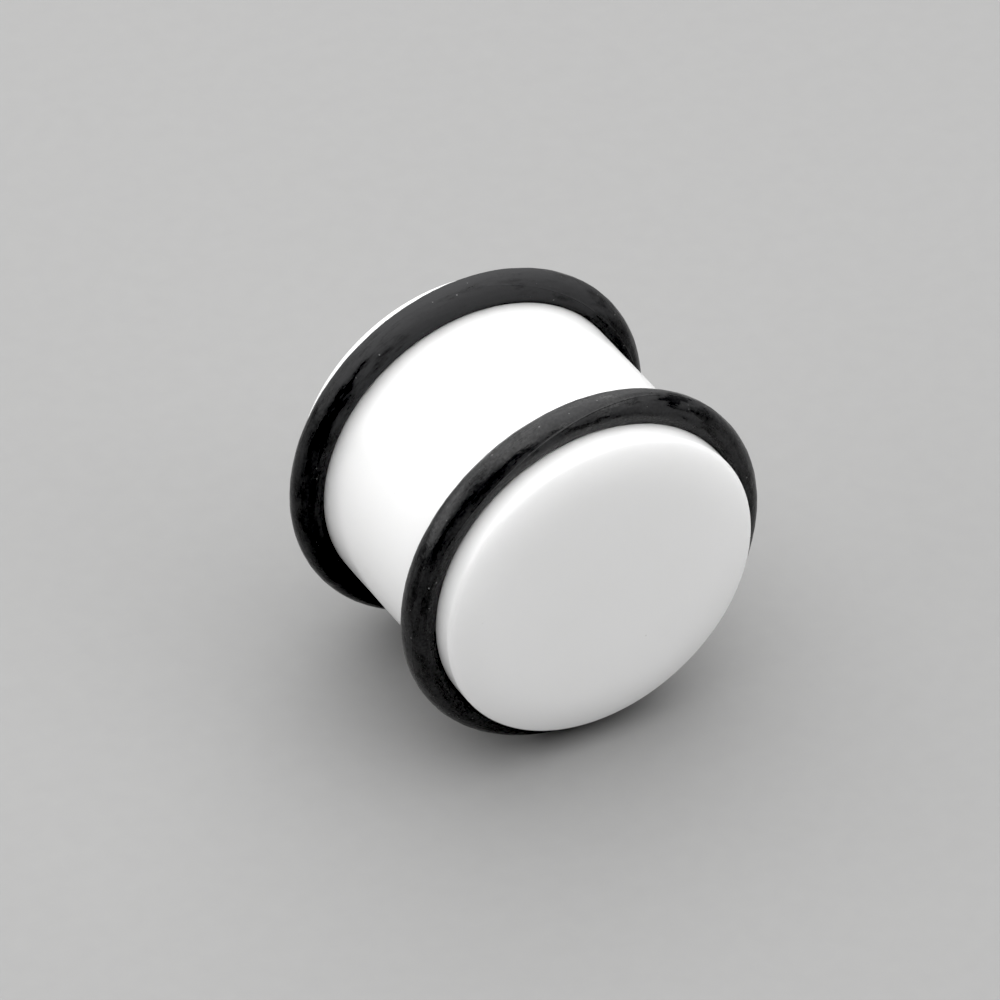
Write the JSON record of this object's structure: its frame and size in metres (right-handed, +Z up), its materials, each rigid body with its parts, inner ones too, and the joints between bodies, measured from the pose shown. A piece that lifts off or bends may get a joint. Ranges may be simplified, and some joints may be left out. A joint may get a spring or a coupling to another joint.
{
  "type": "ear gauge plug",
  "caption": "Straight ear gauge plug: a solid acrylic rod with rounded ends, held in a stretched earlobe by a rubber O-ring in a groove at each end.",
  "frame": {"origin": "on the surface that the plug lies on, under the middle of its length", "axes": "+Z up, the plug's axis along Y with the front end facing -Y, 9.29 mm above the surface"},
  "size_m": [0.0186, 0.015, 0.0186],
  "materials": {
    "white_acrylic": "polished white acrylic",
    "black_rubber": "satin moulded rubber with a little dust"
  },
  "bodies": {
    "root": {"plug_body": "white_acrylic", "front_o_ring": "black_rubber", "back_o_ring": "black_rubber"}
  },
  "joints": []
}
